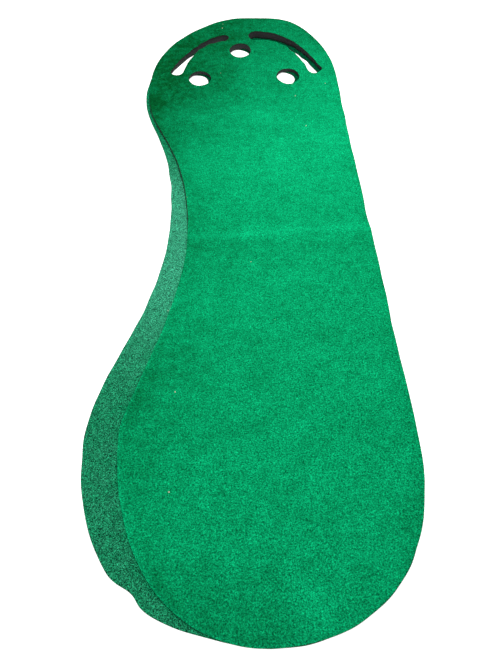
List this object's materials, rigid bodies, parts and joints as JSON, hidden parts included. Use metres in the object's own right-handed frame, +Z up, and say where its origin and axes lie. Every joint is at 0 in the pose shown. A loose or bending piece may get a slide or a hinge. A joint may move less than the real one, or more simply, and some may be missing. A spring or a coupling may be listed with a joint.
{
  "type": "practice putting mat",
  "caption": "Kidney-shaped two-layer turf putting mat with a foam-raised head, round cups cut through it and curved trap slots behind them; it folds across the middle.",
  "frame": {"origin": "on the floor under the middle of the mat: the centre of the footprint's box, on the underside", "axes": "+Y runs along the mat from the foot to the raised head, +X is to the putter's right when facing the cups, +Z is up from the floor"},
  "size_m": [0.914, 2.743, 0.0468],
  "materials": {
    "putting_turf": "matte",
    "fringe_turf": "matte",
    "turf_backing": "matte",
    "foam": "matte",
    "non_skid": "matte"
  },
  "bodies": {
    "head_half": {"fringe_backing_head": "non_skid", "fringe_turf_head": "fringe_turf", "foam_ramp": "foam", "putting_backing_head": "turf_backing", "putting_turf_head": "putting_turf"},
    "foot_half": {"fringe_backing_foot": "non_skid", "fringe_turf_foot": "fringe_turf", "putting_backing_foot": "turf_backing", "putting_turf_foot": "putting_turf"}
  },
  "joints": [
    {"name": "mid_fold", "type": "hinge", "parent": "head_half", "child": "foot_half", "pos_m": [0, -0.057, 0.0098], "axis": [-1, 0, 0], "range_deg": [0, 178]}
  ]
}
